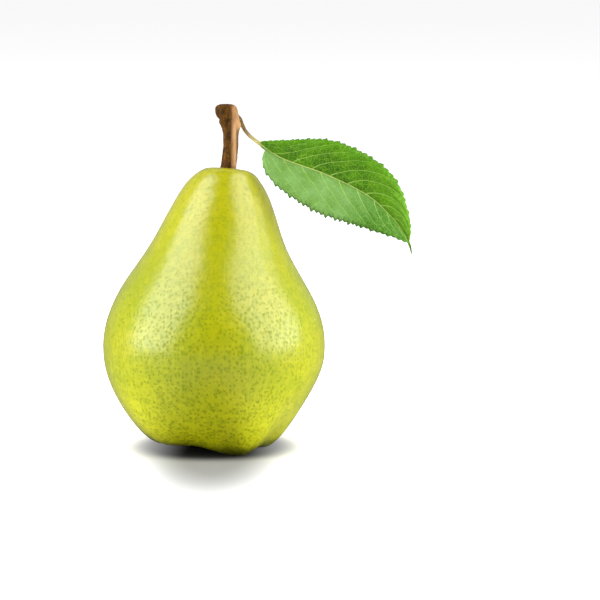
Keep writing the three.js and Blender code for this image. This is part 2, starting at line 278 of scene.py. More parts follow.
def feed(shader, **wires):
    for socket, wire in wires.items():
        wire.tree.links.new(wire.socket, shader.inputs[socket.replace("_", " ")])


def bumped(height, distance, strength=1.0, below=None):
    inputs = {"Height": height, "Distance": distance, "Strength": strength}
    if below:
        inputs["Normal"] = below
    return height.node("ShaderNodeBump", inputs=inputs)


def noise(where, scale, detail=2.0, roughness=0.5):
    inputs = {"Vector": where, "Scale": scale, "Detail": detail, "Roughness": roughness}
    return where.node("ShaderNodeTexNoise", {"noise_dimensions": "3D"}, inputs)


def ragged(where, scale, amount):
    """The same place, moved about a little, so that what is drawn there has no clean outline."""
    stray = where.node("ShaderNodeTexNoise", inputs={"Vector": where, "Scale": scale}, out=1)
    inputs = {0: stray, 1: (amount,) * 3, 2: where}
    return where.node("ShaderNodeVectorMath", {"operation": "MULTIPLY_ADD"}, inputs)


def pores(where, spacing, radius):
    """Soft round dots, 1 in their middle."""
    inputs = {"Vector": where, "Scale": 1 / spacing, "Randomness": PORE_DISORDER}
    distance = where.node("ShaderNodeTexVoronoi", {"feature": "F1"}, inputs) * spacing
    return distance.step(radius + PORE_BLUR[0], radius - PORE_BLUR[1])


def pear_skin():
    skin, shader, wire = new_material(
        "pear skin", IOR=1.45, Specular_IOR_Level=0.3, Subsurface_Weight=0.1,
        Subsurface_Scale=0.003, Subsurface_Radius=(1.0, 0.9, 0.25),
        Coat_Roughness=0.25, Coat_IOR=1.5,
    )  # fmt: skip
    place = in_millimetres(wire)
    x, y, z = place.split()

    # Large clouds of yellower and greener skin, paler towards the eye and yellow on the neck, with
    # a dark green foot that is painted shade where the pear stands on the floor.
    cloud = noise(place, 0.05, 3.0)
    ground = cloud.step(0.35, 0.65).mix(colour(156, 157, 0.5), colour(146, 154, 0.5))
    height = z + (cloud - 0.5) * 14.0
    ground = height.step(*EYE_END).mix(ground, colour(190, 192, 6))
    ground = (z.step(*FOOT_SHADE) * 0.8).mix(ground, colour(74, 78, 4))
    ground = (height.step(*NECK) * 0.8).mix(ground, colour(166, 162, 1))
    # Small mottles, yellower and greener.
    mottle = noise(place.scaled(1.0, 1.0, 0.8), 0.42, 3.0, 0.6)
    ground = (mottle.step(0.5, 0.68) * 0.35).mix(ground, colour(172, 169, 1))
    ground = (mottle.step(0.5, 0.34) * 0.4).mix(ground, colour(130, 144, 1))
    # Orange right at the stem's foot.
    from_stem = length(x - STEM_FOOT.x / MM, y - STEM_FOOT.y / MM)
    tinge = from_stem.step(*STEM_TINGE) * z.step(*CROWN)
    ground = (tinge * 0.8).mix(ground, colour(200, 142, 6))

    # Pores: olive green dots from the eye to the waist, and fine dashes lying round the neck.
    uneven = ragged(place, 1.2, 0.9)
    up_neck = z.step(*DOTS_TO_DASHES)
    small = pores(uneven.scaled(1.0, 1.0, 0.88), *SMALL_PORES)
    large = pores(uneven, *LARGE_PORES)
    dashes = pores(uneven.scaled(0.75, 0.75, 1.4), *NECK_PORES)
    fade = noise(place, 0.4, 2.0).step(0.2, 0.6) * 0.2 + 0.8
    dots = small.sum("MAXIMUM", large) * (1 - up_neck * 0.85)
    spots = dots.sum("MAXIMUM", dashes * up_neck * 0.7) * fade
    freckled = (spots * 0.64).mix(ground, colour(106, 120, 0.2))

    # Shallow dents, finer ones in them, and pores that lie a little deep with thin wax over them.
    relief = bumped(noise(place, 0.2, 2.0), 0.9 * MM, 0.5)
    relief = bumped(noise(place, 0.75, 3.0), 0.26 * MM, 0.8, below=relief)
    relief = bumped(spots * -1.0, 0.05 * MM, 0.6, below=relief)
    wax = 1 - spots * 0.8
    gloss = noise(place, 0.6, 3.0).step(0.3, 0.7, smooth=False) * 0.08 + 0.27
    feed(shader, Base_Color=freckled, Roughness=gloss, Coat_Weight=wax, Normal=relief)
    return skin


def fruit_growth(geometry, given):
    position = geometry.node("GeometryNodeInputPosition")
    x, y, z = position.split()
    radius = length(x, y)
    angle = y.sum("ARCTAN2", x)
    # The lobes swell and sink round the eye. One is short, and the base is drawn in at one side.
    low = 1 - z.step(0.0, given["Lobe fade"])
    outside = radius.step(0.0, given["Lobes from"])
    lobe = ((angle - given["Lobe angle"]) * given["Lobes"]).sum("COSINE")
    short = towards(angle, given["Short lobe angle"], 3.0)
    rise = given["Lobe rise"] * (1 - lobe) / 2.0 + given["Short lobe rise"] * short
    drawn_in = 1 - given["Drawn in"] * low * towards(angle, 0.0, 2.0)
    oval = ((angle - given["Oval angle"]) * 2.0).sum("COSINE") * given["Oval"]
    three = ((angle - given["Three sided angle"]) * 3.0).sum("COSINE") * given["Three sided"]
    wide = radius * (oval + three + 1) * drawn_in + given["Lobe swell"] * lobe * low * outside
    dents = noise(position, given["Dents per metre"], 1.0) - 0.5
    wide = wide + dents * given["Dents"] * radius.step(0.0, given["Dents from"])
    # The neck leans, and the crown slopes.
    crown = z.step(given["Crown from"], given["Height"])
    bend = z.step(given["Lean from"], given["Height"])
    lean = given["Neck lean"] * bend + given["Crown lean"] * crown
    across = wide * angle.sum("COSINE")
    deep = wide * angle.sum("SINE")
    fall = given["Crown fall x"] * across + given["Crown fall y"] * deep
    up = (z + rise * low * outside - crown * fall).sum("MAXIMUM", 0.0)
    return moved_to(geometry, across + lean + AXIS.x, deep + AXIS.y, up)


outline = [(share * BELLY_RADIUS, rise * FRUIT_HEIGHT) for share, rise in FRUIT_OUTLINE]
fruit = turned("pear_flesh", spline_profile(outline, FRUIT_STEPS), FRUIT_SEGMENTS)
grown(fruit, fruit_growth, FRUIT_SHAPE, pear_skin())
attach(fruit, "root")
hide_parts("fruit")

# ---------------------------------------------------------------- the stem
# The woody stalk that held the pear to its spur: ridged brown bark, a little bowed, swollen at the
# top where it broke away, and rooted in the dimple of the crown.

STEM_OUTLINE = [
    (0, -5.5), (1.6, -5.5), (2.2, -4.5), (2.4, -2), (2.7, -0.4), (2.6, 1.4), (2.45, 4), (2.4, 8),
    (2.5, 11.2), (2.75, 13.6), (3.35, 16), (3.7, 18.2), (3.6, 20), (2.9, 20.95), (1.6, 21.15),
    (0.6, 21.1), (0, 21.1),
]  # fmt: skip
STEM_SEGMENTS = 128
STEM_STEPS = 12
STEM_SHAPE = {
    "Length": 21.2 * MM,
    "Bow": 0.95 * MM,
    "Knob shift": 0.65 * MM,
    "Knob from": 12 * MM,
    "Knob to": 19 * MM,
    "Back lean": 0.04,
    "Core": 1.5 * MM,
    "Smooth foot": 4 * MM,
    "Ridges": 3.0,
    "Ridge height": 0.1 * MM,
    "Ridge twist": 14 * MM,
    "Furrow depth": 0.12 * MM,
    "Lump height": 0.5 * MM,
    "Lumps per metre": 330.0,
    "Rough end from": 17 * MM,
    "Rough end to": 21 * MM,
    "Leaf swelling": 0.7 * MM,
    "Leaf height": 14.3 * MM,
    "Leaf reach": 1.5 * MM,
    "Leaf angle": math.radians(12),
    "Scar angle": math.radians(185),
    "Scar reach": 0.5 * MM,
    "Notch depth": 0.45 * MM,
    "Notch height": 16.3 * MM,
    "Nub": 0.15 * MM,
    "Nub height": 15.0 * MM,
}
FURROWS_PER_METRE = (900.0, 900.0, 140.0)  # across, deep and along the stem
# In millimetres, each from where a change of the bark, its painted highlight included, begins to
# where it is complete: across the stem from its middle, then up it from its foot.
# The first is where the painted highlight lies on the right side of the stem.
HIGHLIGHT_SIDE = (0.7, 2.3)
DARK_SIDE = (2.5, 3.0)
STEM_KNOB = (13.0, 17.0)
STEM_SHAFT = (15.0, 12.0)
DARK_FOOT = (2.0, 0.0)


def bell(value, middle, reach):
    """1 at the middle, and next to nothing two reaches away from it."""
    return (((value - middle) / reach) ** 2.0 * -1.0).sum("EXPONENT")


def stem_growth(geometry, given):
    position = geometry.node("GeometryNodeInputPosition")
    x, y, z = position.split()
    radius = length(x, y)
    angle = y.sum("ARCTAN2", x)
    side = radius.step(0.0, given["Core"])
    above = z.step(0.0, given["Smooth foot"])
    # Blunt twisted ridges, and a swelling where the leaf springs from the stem.
    ridges = (angle * given["Ridges"] + z / given["Ridge twist"]).sum("COSINE")
    swelling = bell(z, given["Leaf height"], given["Leaf reach"]) * given["Leaf swelling"]
    swelling = swelling * towards(angle, given["Leaf angle"], 3.0)
    # Fine furrows, lumps, and the scar of an older leaf, a nub with a notch above it.
    grain = noise(position.scaled(*FURROWS_PER_METRE), 1.0, 3.0) - 0.5
    lumps = (noise(position, given["Lumps per metre"], 1.0) - 0.5) * given["Lump height"]
    scar = bell(z, given["Nub height"], given["Scar reach"]) * given["Nub"]
    scar = scar - bell(z, given["Notch height"], given["Scar reach"]) * given["Notch depth"]
    scar = scar * towards(angle, given["Scar angle"], 6.0)
    wide = radius + side * above * (ridges * given["Ridge height"] + swelling)
    wide = wide + side * (grain * given["Furrow depth"] + lumps + scar)
    # The stem bows, leans back, and ends in a knob set to one side.
    height = z.sum("MAXIMUM", 0.0)
    bow = (height * math.pi / given["Length"]).sum("SINE") * given["Bow"]
    bow = bow - z.step(given["Knob from"], given["Knob to"]) * given["Knob shift"]
    across = wide * angle.sum("COSINE") + bow
    deep = wide * angle.sum("SINE") + height * given["Back lean"]
    up = z + lumps * z.step(given["Rough end from"], given["Rough end to"])
    return moved_to(geometry, across + STEM_FOOT.x, deep + STEM_FOOT.y, up + STEM_FOOT.z)


def stem_bark():
    bark, shader, wire = new_material("stem bark", IOR=1.45, Specular_IOR_Level=0.14)
    place = in_millimetres(wire)
    x, _, z = place.split()
    streaks = noise(place.scaled(1.0, 1.0, 0.16), 2.2, 5.0, 0.6)
    patches = noise(place, 0.35, 2.0)
    brown = patches.step(0.35, 0.65).mix(colour(52, 31, 1), colour(78, 48, 3))
    brown = (streaks.step(0.5, 0.7) * 0.6).mix(brown, colour(112, 76, 24))
    brown = (streaks.step(0.45, 0.3) * 0.55).mix(brown, colour(40, 23, 1))
    # A pinkish tan painted highlight lies on the right side, weaker on the knob, with dark bark
    # beyond it on the shaft.
    across = x - STEM_FOOT.x / MM
    height = z - STEM_FOOT.z / MM
    painted_highlight = across.step(*HIGHLIGHT_SIDE) * (streaks * 0.9 + 0.45) * (1 - height.step(*STEM_KNOB) * 0.45)
    brown = painted_highlight.mix(brown, colour(184, 142, 98))
    dark = across.step(*DARK_SIDE) * height.step(*STEM_SHAFT)
    brown = (dark * 0.85).mix(brown, colour(58, 38, 8))
    brown = (height.step(*DARK_FOOT) * 0.6).mix(brown, colour(64, 38, 8))
    # Small pale corky specks.
    specks = {"Vector": place.scaled(1.0, 1.0, 0.6), "Scale": 1.6}
    speck = wire.node("ShaderNodeTexVoronoi", {"feature": "F1"}, specks).step(0.22, 0.1)
    brown = (speck * 0.5).mix(brown, colour(176, 136, 78))
    relief = bumped(streaks + speck * 0.3, 0.16 * MM, 0.9)
    feed(shader, Base_Color=brown, Roughness=streaks * 0.25 + 0.5, Normal=relief)
    return bark


outline = [(radius * MM, height * MM) for radius, height in STEM_OUTLINE]
stem = turned("pear_stem", spline_profile(outline, STEM_STEPS), STEM_SEGMENTS)
grown(stem, stem_growth, STEM_SHAPE, stem_bark())
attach(stem, "root")
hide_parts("stem")

# ---------------------------------------------------------------- the leaf blade
# A thin fresh blade, folded along its midrib and arched, with small forward saw teeth all round and
# a drawn out tip. Pale side veins and a fine net of lesser ones show on both faces.

# From the side of the stem, down the stalk and the midrib to the tip, in millimetres from the axis.
LEAF_LINE = [
    (8.6, 1.9, 106.4), (9.1, 1.7, 105), (10.7, 0.6, 102.3), (13.9, -1, 99.6),
    (22.1, -3.2, 94.4), (36.3, -6.2, 89.4), (49.9, -8.3, 82.7), (58.4, -8.5, 74.7),
    (62.7, -7.2, 68), (64.2, -5.6, 63.3),
]  # fmt: skip
LINE_STEPS = 600
BLADE_FROM = 0.135  # share of the line that is bare stalk
HALF_WIDTH = 12.5 * MM
NARROWEST = 0.03 * MM
DRIP_TIP = 0.07  # share of the blade that is drawn out into the tip
DRIP_HALF_WIDTH = 0.6 * MM
DRIP_FROM = 0.8  # where the tip's own width begins to count
# Each half: where it starts, its share of the width, how early it is widest when under 1, and two
# numbers that make it fuller at the base and, added up, at the tip, the lower they are.
LOWER_HALF = (0.05, 1.1, 0.8, 0.6, 0.25)
UPPER_HALF = (0, 0.96, 1, 0.72, 0.2)
BLADE_THICKNESS = 0.35 * MM
THINNED_EDGE = 0.6  # share of the thickness that is lost at the edge
FACING_BASE = Vector((0.1, -1, 0.28))
FACING_TIP = Vector((0.25, -1, 0.32))
FOLD_BASE = math.radians(30)
FOLD_TIP = math.radians(14)
ARCH = 0.2
EDGE_WAVES = 3.5
EDGE_WAVE = 0.45 * MM
STEADY_WIDTH = 4 * MM  # where a half is narrower than this, its edge waves less
GROOVE_DEPTH = 0.35 * MM  # over the midrib
GROOVE_HALF_WIDTH = 0.5 * MM
RIM = 0.1  # share of each half that turns down at the edge
RIM_DROP_UPPER = 0.5 * MM
RIM_DROP_LOWER = 0.9 * MM
TEETH = 34
TOOTH = 0.75 * MM
TOOTH_POINT = 0.72  # share of a tooth's length at which it is highest
TOOTH_UNEVEN = 0.42
LOWER_TEETH = 1.3  # their share of a tooth's height
UPPER_TEETH = 0.8
LOWER_TEETH_AHEAD = 0.35  # of the upper ones, in teeth
SIDE_VEINS = 9
VEIN_SWEEP = 0.31  # how far along the blade a side vein has moved on when it meets the edge
VEIN_BEND = 1.35
VEIN_START = 0.02
VEIN_CROWDING = 0.12  # towards the tip
PUCKER_UPPER = 0.2 * MM
PUCKER_LOWER = 0.09 * MM
WIDE_NET = (0.5, 0.045)  # meshes to the millimetre, and the width of a line as a share of one
FINE_NET = (1.25, 0.07)
ROWS_PER_TOOTH = 10
TIP_ROWS = 24
BLADE_COLUMNS = 40  # on each half
COLUMN_CROWDING = 1.35  # over 1, the columns lie closer towards the edge


def smooth_line(points, steps, fine_steps=60):
    """Evenly spaced points of a Catmull-Rom curve through the given points."""
    knots = [2 * points[0] - points[1], *points, 2 * points[-1] - points[-2]]
    fine = []
    for first in range(len(knots) - 3):
        a, b, c, d = knots[first : first + 4]
        bend = (2 * a - 5 * b + 4 * c - d, 3 * b - a - 3 * c + d)
        for step in range(fine_steps):
            t = step / fine_steps
            fine.append(0.5 * (2 * b + (c - a) * t + bend[0] * t**2 + bend[1] * t**3))
    fine.append(points[-1])
    lengths = [0]
    for one, other in zip(fine, fine[1:]):
        lengths.append(lengths[-1] + (other - one).length)
    line = []
    at = 0
    for step in range(steps + 1):
        wanted = lengths[-1] * step / steps
        while at < len(fine) - 2 and lengths[at + 1] < wanted:
            at += 1
        share = (wanted - lengths[at]) / max(lengths[at + 1] - lengths[at], 1e-9)
        line.append(fine[at].lerp(fine[at + 1], share))
    return line


leaf_line = smooth_line([AXIS + Vector(point) * MM for point in LEAF_LINE], LINE_STEPS)


def ease(low, high, value):
    t = min(max((value - low) / (high - low), 0), 1)
    return t * t * (3 - 2 * t)


def leaf_frame(s):
    """The midrib's point, the direction of the upper half and the upper face's normal."""
    at = (BLADE_FROM + (1 - BLADE_FROM) * s) * LINE_STEPS
    index = min(int(at), LINE_STEPS - 1)
    point = leaf_line[index].lerp(leaf_line[index + 1], at - index)
    behind = leaf_line[max(index - 3, 0)]
    ahead = leaf_line[min(index + 4, LINE_STEPS)]
    along = (ahead - behind).normalized()
    normal = FACING_BASE.lerp(FACING_TIP, s)
    normal = (normal - along * normal.dot(along)).normalized()
    return point, normal.cross(along), normal


def half_width(s, side):
    """Width of the lower half, where side is -1, or of the upper one, without teeth."""
    start, share, early, base, tip = LOWER_HALF if side < 0 else UPPER_HALF
    t = min(max(0, s - start) / (1 - DRIP_TIP - start), 1) ** early
    blade = HALF_WIDTH * share * max(0, math.sin(math.pi * t)) ** (base + tip * t**2)
    drip = DRIP_HALF_WIDTH * math.sqrt(max(0, 1 - s) / (1 - DRIP_FROM)) if s > DRIP_FROM else 0
    return max(blade, drip, NARROWEST)


def tooth_height(s, side):
    """A tooth rises slowly and ends in a rounded point that faces the tip."""
    along = s / (1 - DRIP_TIP) * TEETH + (LOWER_TEETH_AHEAD if side < 0 else 0)
    if along >= TEETH:
        return 0
    share, number = along % 1, int(along)
    if share < TOOTH_POINT:
        form = (share / TOOTH_POINT) ** 0.7
    else:
        form = ((1 - share) / (1 - TOOTH_POINT)) ** 0.6
    size = math.sin(math.pi * (number + 1) / (TEETH + 2)) ** 0.5
    uneven = 1 + TOOTH_UNEVEN * math.sin(number * 2.4 + side)
    return TOOTH * form * size * uneven * (LOWER_TEETH if side < 0 else UPPER_TEETH)


def vein_phase(s, reach, side):
    """Grows by one from each side vein to the next."""
    shift = 0.5 if side < 0 else 0
    swept = s - VEIN_SWEEP * reach**VEIN_BEND + VEIN_START
    return swept * SIDE_VEINS / (1 - VEIN_CROWDING * s) + shift


def blade_point(s, reach, side):
    """A point of the upper face: s along the midrib, and reach from it, 1 at the edge."""
    point, upper, normal = leaf_frame(s)
    width = half_width(s, side)
    tooth = tooth_height(s, side) * reach**10
    # Each half is folded up from the midrib, arches over, and waves a little at its edge.
    fold = FOLD_BASE + (FOLD_TIP - FOLD_BASE) * s
    wave = EDGE_WAVE * math.sin(2 * math.pi * EDGE_WAVES * s + (0 if side > 0 else 2)) * reach**2
    raised = width * (math.sin(fold) * reach - ARCH * reach**2)
    raised += wave * min(width / STEADY_WIDTH, 1)
    # Between two side veins the blade swells, and its rim turns down a little.
    between = math.cos(2 * math.pi * vein_phase(s, reach, side))
    narrow = min(width / HALF_WIDTH, 1)
    pucker = PUCKER_UPPER if side > 0 else PUCKER_LOWER
    raised -= pucker * between * math.sin(math.pi * min(reach, 1)) ** 0.7 * narrow
    rim_drop = RIM_DROP_UPPER if side > 0 else RIM_DROP_LOWER
    raised -= rim_drop * max(0, reach - (1 - RIM)) / RIM * narrow
    # A narrow groove runs over the midrib.
    raised -= GROOVE_DEPTH * math.exp(-((reach * width / GROOVE_HALF_WIDTH) ** 2))
    return point + upper * (side * (reach * width * math.cos(fold) + tooth)) + normal * raised


def leaf_blade():
    toothed_rows = TEETH * ROWS_PER_TOOTH
    stations = [(1 - DRIP_TIP) * i / toothed_rows for i in range(toothed_rows)]
    stations += [1 - DRIP_TIP + DRIP_TIP * i / TIP_ROWS for i in range(TIP_ROWS + 1)]
    across = [i / BLADE_COLUMNS for i in range(-BLADE_COLUMNS, BLADE_COLUMNS + 1)]
    rows = len(stations)
    columns = len(across)
    top = []
    places = []
    for s in stations:
        for share in across:
            reach = 1 - (1 - abs(share)) ** COLUMN_CROWDING
            side = -1 if share < 0 else 1
            top.append(blade_point(s, reach, side))
            places.append((s, 0.5 + side * reach / 2))
    low = []
    for row in range(rows):
        for column in range(columns):
            before = top[max(row - 1, 0) * columns + column]
            after = top[min(row + 1, rows - 1) * columns + column]
            left = top[row * columns + max(column - 1, 0)]
            right = top[row * columns + min(column + 1, columns - 1)]
            normal = (after - before).cross(right - left).normalized()
            thin = BLADE_THICKNESS * (1 - THINNED_EDGE * abs(across[column]) ** 8)
            low.append(top[row * columns + column] - normal * thin)
    under = len(top)
    faces = []
    for row in range(rows - 1):
        for column in range(columns - 1):
            a = row * columns + column
            b, c, d = a + columns, a + columns + 1, a + 1
            faces.append((a, b, c, d))
            faces.append((under + a, under + d, under + c, under + b))
        left, right = row * columns, row * columns + columns - 1
        faces.append((left, under + left, under + left + columns, left + columns))
        faces.append((right, right + columns, under + right + columns, under + right))
    for column in range(columns - 1):
        last = (rows - 1) * columns + column
        faces.append((column, column + 1, under + column + 1, under + column))
        faces.append((last, under + last, under + last + 1, last + 1))
    blade = mesh_piece("leaf_blade", top + low, faces)
    places += places
    layer = blade.data.uv_layers.new(name="blade place")
    for loop in blade.data.loops:
        layer.data[loop.index].uv = places[loop.vertex_index]
    face = blade.data.attributes.new("upper face", "FLOAT", "POINT")
    for index in range(len(blade.data.vertices)):
        face.data[index].value = 1.0 if index < under else 0.0
    return blade


def vein_net(place, per_millimetre, width):
    cells = {"Vector": ragged(place, 1.0, 0.5), "Scale": per_millimetre, "Randomness": 1.0}
    edge = place.node("ShaderNodeTexVoronoi", {"feature": "DISTANCE_TO_EDGE"}, cells)
    return 1 - edge.step(0.0, width)


def leaf_green():
    green, shader, wire = new_material(
        "leaf green", IOR=1.45, Specular_IOR_Level=0.18, Subsurface_Weight=0.08,
        Subsurface_Scale=0.001, Subsurface_Radius=(0.6, 1.0, 0.2),
    )  # fmt: skip
    place = in_millimetres(wire)
    spot = wire.node("ShaderNodeUVMap", {"uv_map": "blade place"})
    s, v, _ = spot.split()
    upper = wire.node("ShaderNodeAttribute", {"attribute_name": "upper face"}, out=2)
    offset = (v - 0.5) * 2.0
    reach = offset.sum("ABSOLUTE")
    below = offset.step(0.0, -0.001)

    # Side veins lie where the blade's swells meet, and thin out and fade towards the edge.
    wander = noise(place, 0.12, 2.0) - 0.5
    swept = s - (reach**VEIN_BEND) * VEIN_SWEEP + VEIN_START + wander * 0.03
    phase = swept * SIDE_VEINS / (1 - s * VEIN_CROWDING) + below * 0.5
    away = ((phase.sum("FRACT") - 0.5).sum("ABSOLUTE") - 0.5).sum("ABSOLUTE")
    thin = reach.step(1.0, 0.0, smooth=False) * 0.02 + 0.012
    side_vein = (1 - (away / thin).step(0.4, 1.6)) * reach.step(1.0, 0.8)
    # The blade narrows at both ends, so the midrib's share of its width grows there.
    spread = ((s / (1 - DRIP_TIP)).sum("MINIMUM", 1.0) * math.pi).sum("SINE").sum("MAXIMUM", 0.05)
    from_rib = reach * spread**0.7
    rib = s.step(1.0, 0.0, smooth=False) * 0.01 + 0.006
    midrib = 1 - (from_rib / rib).step(0.6, 1.7)

    # The net is made of wide meshes with finer ones in them.
    wide_net, fine_net = (vein_net(place, *mesh) for mesh in (WIDE_NET, FINE_NET))
    net = wide_net.sum("MAXIMUM", fine_net * 0.85)

    # The upper face: deep green above the midrib, and below it a painted sheen, a lighter and
    # greyer copy of that green with a paler net, that gives way to deep green towards the tip. The
    # rim is painted darker as shade.
    cloud = noise(place, 0.16, 3.0)
    deep = cloud.step(0.3, 0.7).mix(colour(37, 81, 1), colour(63, 112, 1))
    painted_sheen_green = cloud.step(0.2, 0.8).mix(colour(92, 134, 48), colour(118, 160, 90))
    face = below.mix(deep, painted_sheen_green)
    face = (reach.step(0.5, 1.0) * (1 - below) * 0.5).mix(face, colour(78, 140, 2))
    face = (s.step(0.5, 0.95) * (1 - below) * 0.6).mix(face, colour(92, 144, 16))
    face = (s.step(0.42, 0.76) * below * 0.98).mix(face, colour(55, 106, 3))
    net_green = below.mix(colour(124, 172, 36), colour(150, 190, 98))
    face = (net * (0.7 - below * 0.3)).mix(face, net_green)
    face = (side_vein * 0.75).mix(face, colour(164, 202, 94))
    face = (midrib * 0.85).mix(face, colour(196, 216, 118))
    # Painted shade along the rim, under its turned-down edge and teeth, deeper on the lower half.
    painted_rim_shade = reach.step(0.955, 1.0) * 0.45 + reach.step(0.93, 0.985) * below * 0.4
    face = painted_rim_shade.mix(face, colour(40, 74, 14))
    face = s.step(0.925, 0.985).mix(face, colour(70, 92, 24))
    # The back is paler, and its veins stand out less.
    back = (net * 0.4 + side_vein * 0.6).mix(colour(116, 156, 74), colour(164, 188, 108))
    face = upper.mix(back, face)

    hills = net * -0.6 + noise(place, 1.4, 2.0) * 0.5
    relief = bumped(hills, 0.10 * MM, 0.7)
    relief = bumped(side_vein * -1.0 - midrib * 1.2, 0.18 * MM, 0.8, below=relief)
    feed(shader, Base_Color=face, Roughness=cloud * 0.12 + net * 0.08 + 0.36, Normal=relief)
    return green


blade = leaf_blade()
blade.data.materials.append(leaf_green())
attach(blade, "root")
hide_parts("leaf")

# ---------------------------------------------------------------- the leaf stalk
# A slender stalk that springs brown and swollen from the side of the stem, pales to yellow green,
# and runs on under the blade as its midrib, standing proud of the back.

STALK_RADIUS = 0.62 * MM
STALK_FOOT_RADIUS = 0.7 * MM
ROOT_SHARE = 0.5  # of the foot's radius, where it starts inside the stem
FOOT_SHARE = 0.06  # of the leaf's line, over which the foot slims to the stalk
STALK_END = 0.96  # share of the leaf's line
RIB_TAPER = 0.78  # share of the radius that the midrib would lose by the blade's tip
RIB_SINKS_BY = 0.05  # share of the blade, over which the stalk dips under it
STALK_ROOT = [(7.0, 1.5, 108.7), (7.85, 1.85, 107.5)]  # grown fast to the side of the stem's knob
ROOT_RINGS = 40
STALK_RINGS = 260
STALK_SIDES = 24
RIB_UNDER = 0.4 * MM  # the midrib's top lies this far under the leaf's line


def leaf_stalk():
    start = [AXIS + Vector(point) * MM for point in STALK_ROOT]
    lead = smooth_line([*start, leaf_line[0]], ROOT_RINGS)
    rings = []
    for ring in range(ROOT_RINGS):
        share = ROOT_SHARE + (1 - ROOT_SHARE) * ring / ROOT_RINGS
        rings.append((lead[ring], 0, STALK_FOOT_RADIUS * share))
    for ring in range(STALK_RINGS + 1):
        u = STALK_END * ring / STALK_RINGS
        at = u * LINE_STEPS
        index = min(int(at), LINE_STEPS - 1)
        s = max(0, (u - BLADE_FROM) / (1 - BLADE_FROM))
        radius = STALK_RADIUS * (1 - RIB_TAPER * s)
        radius += (STALK_FOOT_RADIUS - STALK_RADIUS) * (1 - ease(0, FOOT_SHARE, u))
        centre = leaf_line[index].lerp(leaf_line[index + 1], at - index)
        _, _, normal = leaf_frame(s)
        centre -= normal * (radius + RIB_UNDER) * ease(0, RIB_SINKS_BY, s)
        rings.append((centre, u, radius))
    points = []
    places = []
    for ring, (centre, u, radius) in enumerate(rings):
        along = rings[min(ring + 1, len(rings) - 1)][0] - rings[max(ring - 1, 0)][0]
        side = along.cross(Vector((0, 1, 0))).normalized()
        other = side.cross(along)
        for k in range(STALK_SIDES):
            turn = 2 * math.pi * k / STALK_SIDES
            out = side * math.cos(turn) + other * math.sin(turn)
            points.append(centre + out * radius)
            places.append(u)
    faces = []
    for ring in range(len(rings) - 1):
        for k in range(STALK_SIDES):
            a = ring * STALK_SIDES + k
            b = ring * STALK_SIDES + (k + 1) % STALK_SIDES
            faces.append((a, b, b + STALK_SIDES, a + STALK_SIDES))
    faces.append(tuple(reversed(range(STALK_SIDES))))
    faces.append(tuple((len(rings) - 1) * STALK_SIDES + k for k in range(STALK_SIDES)))
    stalk = mesh_piece("leaf_stalk", points, faces)
    along = stalk.data.attributes.new("along", "FLOAT", "POINT")
    for index, u in enumerate(places):
        along.data[index].value = u
    return stalk


def stalk_green():
    green, shader, wire = new_material("leaf stalk green", IOR=1.45, Subsurface_Weight=0.05)
    place = in_millimetres(wire)
    along = wire.node("ShaderNodeAttribute", {"attribute_name": "along"}, out=2)
    # Brown at the root, straw coloured along the bare stalk, yellow green under the blade.
    ground = along.step(0.0, 0.04).mix(colour(104, 70, 26), colour(132, 98, 46))
    ground = along.step(0.05, 0.13).mix(ground, colour(172, 164, 92))
    ground = along.step(0.13, 0.3).mix(ground, colour(160, 182, 96))
    # Pale fibres, with dark ones between them near the root.
    fibres = noise(place, 2.5, 3.0)
    ground = (fibres.step(0.45, 0.7) * 0.4).mix(ground, colour(206, 186, 120))
    ground = (fibres.step(0.45, 0.3) * along.step(0.14, 0.05) * 0.6).mix(ground, colour(92, 64, 26))
    relief = bumped(fibres, 0.08 * MM, 0.6)
    feed(shader, Base_Color=ground, Roughness=fibres * 0.2 + 0.38, Normal=relief)
    return green


stalk = leaf_stalk()
stalk.data.materials.append(stalk_green())
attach(stalk, "root")
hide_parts("leaf")

# ---------------------------------------------------------------- the calyx
# What is left of the flower in the eye: a dry cup, five withered sepals spread over the basin, and
# a tuft of dead stamens, all brown and brittle and grown fast to the flesh.

CUP_OUTLINE = [
    (0, 3.4), (1.2, 3.3), (2.0, 4.0), (2.4, 4.8), (2.7, 5.7), (2.6, 6.3), (1.6, 6.5), (0, 6.5),
]  # fmt: skip
CUP_STEPS = 6
CUP_SEGMENTS = 40
SEPALS = 5
SEPAL_TURN = math.radians(-29)
SEPAL_ROOT = 1.5 * MM  # from the middle of the eye
SEPAL_ROOT_HEIGHT = 5.1 * MM
SEPAL_LENGTH = 5.2 * MM
SEPAL_HALF_WIDTH = 1.5 * MM
SEPAL_DROP = 2.5 * MM  # it hangs down this far, then turns up again towards its tip
SEPAL_TIP_RISE = 1.5 * MM
SEPAL_CUPPED = 0.45 * MM
SEPAL_HALF_THICKNESS = 0.14 * MM
SEPAL_BENT = 0.5 * MM
LARGE_CRINKLE = 0.16 * MM
SMALL_CRINKLE = 0.1 * MM
SEPAL_ROWS = 30
SEPAL_COLUMNS = 14
STAMENS = {
    "Count": 18.0,
    "Ring": 1.5 * MM,
    "Height": 3.4 * MM,
    "Length": 2.3 * MM,
    "Thickness": 0.11 * MM,
    "Tip": 0.6,
}
STAMEN_SIDES = 6
STAMEN_SEGMENTS = 4
STAMEN_LEAN = 0.5  # at most, in radians
STAMEN_TURN = 3.0
STAMEN_SEED = 4


